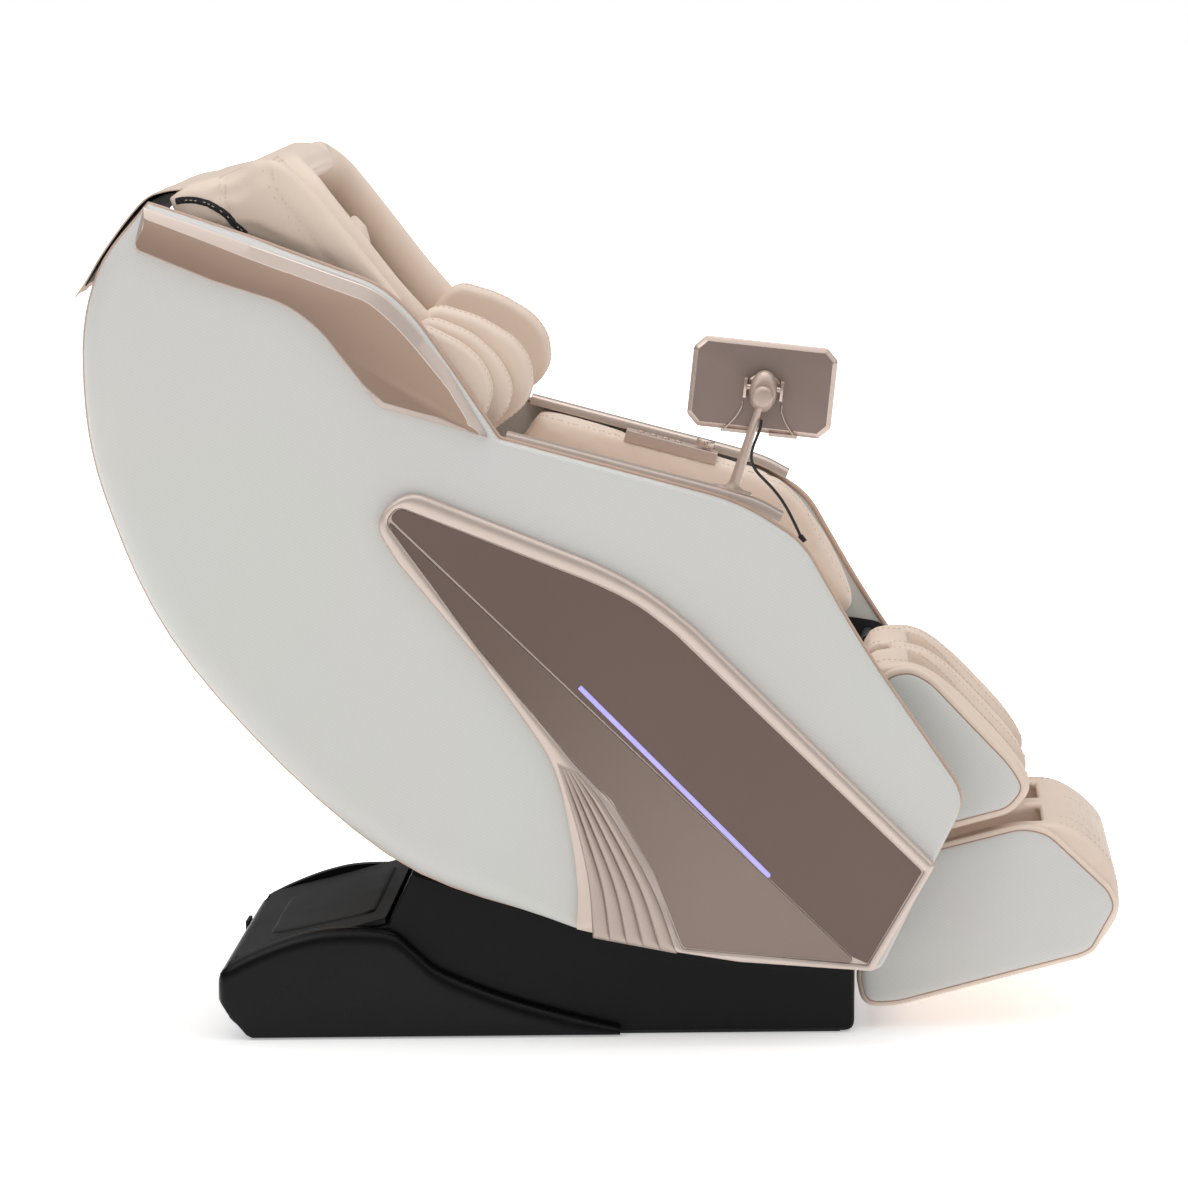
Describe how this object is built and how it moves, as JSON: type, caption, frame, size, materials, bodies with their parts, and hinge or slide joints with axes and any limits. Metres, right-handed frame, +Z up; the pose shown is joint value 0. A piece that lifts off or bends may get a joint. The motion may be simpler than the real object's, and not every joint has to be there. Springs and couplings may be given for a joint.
{
  "type": "massage chair",
  "caption": "Reclining full-body massage chair with hooded backrest, lifting calf and foot rest, arm controls and a tablet on a swivel stem.",
  "frame": {"origin": "on the floor, under the middle cross member of the base frame and below the tilt hinge, on the chair's centre plane", "axes": "+X to the front (foot rest), +Y to the sitter's left (side with the control panel), +Z up"},
  "size_m": [1.3742, 0.78, 1.1709],
  "materials": {
    "shell_white": "satin",
    "leather_beige": "matte",
    "trim_bronze": "satin",
    "trim_champagne": "satin",
    "inlay_brown": "satin",
    "tablet_brown": "matte",
    "stand_metal": "satin",
    "base_black": "matte",
    "frame_steel": "satin",
    "drive_black": "matte",
    "steel": "satin",
    "rubber_black": "matte"
  },
  "bodies": {
    "base": {"base_shell": "base_black", "base_bumper": "base_black", "rear_deck": "base_black", "base_frame": "frame_steel", "power_inlet": "base_black"},
    "wheel_right": {"transport_wheel_right": "rubber_black"},
    "wheel_left": {"transport_wheel_left": "rubber_black"},
    "tilt_tube": {"tilt_actuator_tube": "drive_black"},
    "tilt_rod": {"tilt_actuator_rod": "steel"},
    "body": {"side_shell_right": "shell_white", "side_shell_left": "shell_white", "upper_trim_right": "trim_bronze", "upper_trim_left": "trim_bronze", "lower_trim_right": "trim_champagne", "lower_trim_left": "trim_champagne", "inlay_right": "inlay_brown", "inlay_left": "inlay_brown", "arm_cap_right": "trim_champagne", "arm_cap_left": "trim_champagne", "arm_pad_right": "leather_beige", "arm_pad_left": "leather_beige", "shoulder_pad_right": "leather_beige", "shoulder_pad_left": "leather_beige", "back_cover": "leather_beige", "seat_frame": "frame_steel", "massage_track": "frame_steel", "seat_cushion": "leather_beige", "backrest_pad": "leather_beige", "head_pillow": "leather_beige", "hood": "leather_beige", "rear_flap": "leather_beige", "air_pump": "drive_black", "control_panel": "trim_champagne", "tablet_stem": "stand_metal", "tablet_cable": "rubber_black", "cable_grommet": "rubber_black", "leg_actuator_tube": "drive_black"},
    "massage_unit": {"massage_unit": "drive_black"},
    "arm_right": {"knead_arm_right": "steel"},
    "arm_left": {"knead_arm_left": "steel"},
    "roller_right_upper": {"massage_roller_right_upper": "rubber_black"},
    "roller_right_lower": {"massage_roller_right_lower": "rubber_black"},
    "roller_left_upper": {"massage_roller_left_upper": "rubber_black"},
    "roller_left_lower": {"massage_roller_left_lower": "rubber_black"},
    "knob": {"control_knob": "trim_champagne"},
    "button_1": {"button_1": "trim_champagne"},
    "button_2": {"button_2": "trim_champagne"},
    "button_3": {"button_3": "trim_champagne"},
    "button_4": {"button_4": "trim_champagne"},
    "tablet_hub": {"tablet_hub": "stand_metal"},
    "tablet": {"tablet_bracket": "stand_metal", "tablet_case": "tablet_brown"},
    "legrest": {"calf_body": "leather_beige", "calf_side_right": "shell_white", "calf_side_left": "shell_white"},
    "footrest": {"foot_body": "leather_beige", "foot_side_right": "shell_white", "foot_side_left": "shell_white"},
    "foot_roller": {"foot_roller": "rubber_black"},
    "leg_rod": {"leg_actuator_rod": "steel"}
  },
  "joints": [
    {"name": "body_tilt", "type": "hinge", "parent": "base", "child": "body", "pos_m": [0, 0, 0.24], "axis": [0, -1, 0], "range_deg": [0, 28]},
    {"name": "tilt_tube_swing", "type": "hinge", "parent": "base", "child": "tilt_tube", "pos_m": [0.2, 0, 0.066], "axis": [0, -1, 0], "range_deg": [0, 8.1]},
    {"name": "tilt_rod_slide", "type": "slide", "parent": "tilt_tube", "child": "tilt_rod", "axis": [-0.1861, 0, 0.9825], "range_m": [0, 0.0735]},
    {"name": "legrest_lift", "type": "hinge", "parent": "body", "child": "legrest", "pos_m": [0.372, 0, 0.462], "axis": [0, -1, 0], "range_deg": [0, 80]},
    {"name": "leg_rod_slide", "type": "slide", "parent": "body", "child": "leg_rod", "axis": [0.9767, 0, 0.2145], "range_m": [0, 0.0905]},
    {"name": "footrest_extend", "type": "slide", "parent": "legrest", "child": "footrest", "axis": [0.2517, 0, -0.9678], "range_m": [0, 0.12], "stiffness_N_per_m": 1000, "springref_m": -0.1},
    {"name": "foot_roller_spin", "type": "hinge", "parent": "footrest", "child": "foot_roller", "pos_m": [0.512, 0, 0.104], "axis": [0, 1, 0], "continuous": true},
    {"name": "massage_travel", "type": "slide", "parent": "body", "child": "massage_unit", "axis": [-0.3794, 0, 0.9252], "range_m": [0, 0.23]},
    {"name": "knead_right", "type": "hinge", "parent": "massage_unit", "child": "arm_right", "pos_m": [-0.3589, 0, 0.6889], "axis": [0, 1, 0], "range_deg": [-12, 12]},
    {"name": "knead_left", "type": "hinge", "parent": "massage_unit", "child": "arm_left", "pos_m": [-0.3589, 0, 0.6889], "axis": [0, 1, 0], "range_deg": [-12, 12]},
    {"name": "roller_right_upper_spin", "type": "hinge", "parent": "arm_right", "child": "roller_right_upper", "pos_m": [-0.322, -0.09, 0.7624], "axis": [0, 1, 0], "continuous": true},
    {"name": "roller_right_lower_spin", "type": "hinge", "parent": "arm_right", "child": "roller_right_lower", "pos_m": [-0.281, -0.09, 0.6624], "axis": [0, 1, 0], "continuous": true},
    {"name": "roller_left_upper_spin", "type": "hinge", "parent": "arm_left", "child": "roller_left_upper", "pos_m": [-0.322, 0.09, 0.7624], "axis": [0, 1, 0], "continuous": true},
    {"name": "roller_left_lower_spin", "type": "hinge", "parent": "arm_left", "child": "roller_left_lower", "pos_m": [-0.281, 0.09, 0.6624], "axis": [0, 1, 0], "continuous": true},
    {"name": "knob_turn", "type": "hinge", "parent": "body", "child": "knob", "pos_m": [0.1466, 0.2739, 0.7328], "axis": [0.2698, 0, 0.9629], "continuous": true},
    {"name": "button_1_press", "type": "slide", "parent": "body", "child": "button_1", "axis": [-0.2698, 0, -0.9629], "range_m": [0, 0.002], "stiffness_N_per_m": 300, "springref_m": -0.001},
    {"name": "button_2_press", "type": "slide", "parent": "body", "child": "button_2", "axis": [-0.2698, 0, -0.9629], "range_m": [0, 0.002], "stiffness_N_per_m": 300, "springref_m": -0.001},
    {"name": "button_3_press", "type": "slide", "parent": "body", "child": "button_3", "axis": [-0.2698, 0, -0.9629], "range_m": [0, 0.002], "stiffness_N_per_m": 300, "springref_m": -0.001},
    {"name": "button_4_press", "type": "slide", "parent": "body", "child": "button_4", "axis": [-0.2698, 0, -0.9629], "range_m": [0, 0.002], "stiffness_N_per_m": 300, "springref_m": -0.001},
    {"name": "tablet_swivel", "type": "hinge", "parent": "body", "child": "tablet_hub", "pos_m": [0.24, -0.3367, 0.852], "axis": [0.1219, 0, 0.9925], "range_deg": [-40, 40]},
    {"name": "tablet_tilt", "type": "hinge", "parent": "tablet_hub", "child": "tablet", "pos_m": [0.2412, -0.3217, 0.8619], "axis": [0.9925, 0, -0.1219], "range_deg": [-10, 15]},
    {"name": "wheel_right_spin", "type": "hinge", "parent": "base", "child": "wheel_right", "pos_m": [-0.428, -0.2381, 0.031], "axis": [0, 1, 0], "continuous": true},
    {"name": "wheel_left_spin", "type": "hinge", "parent": "base", "child": "wheel_left", "pos_m": [-0.428, 0.2381, 0.031], "axis": [0, 1, 0], "continuous": true}
  ],
  "couplings": [
    {"joint": "tilt_tube_swing", "follows": "body_tilt", "ratio": 0.287},
    {"joint": "tilt_rod_slide", "follows": "body_tilt", "m_per_rad": 0.15},
    {"joint": "leg_rod_slide", "follows": "legrest_lift", "m_per_rad": 0.0644},
    {"joint": "knead_left", "follows": "knead_right", "ratio": -1}
  ]
}
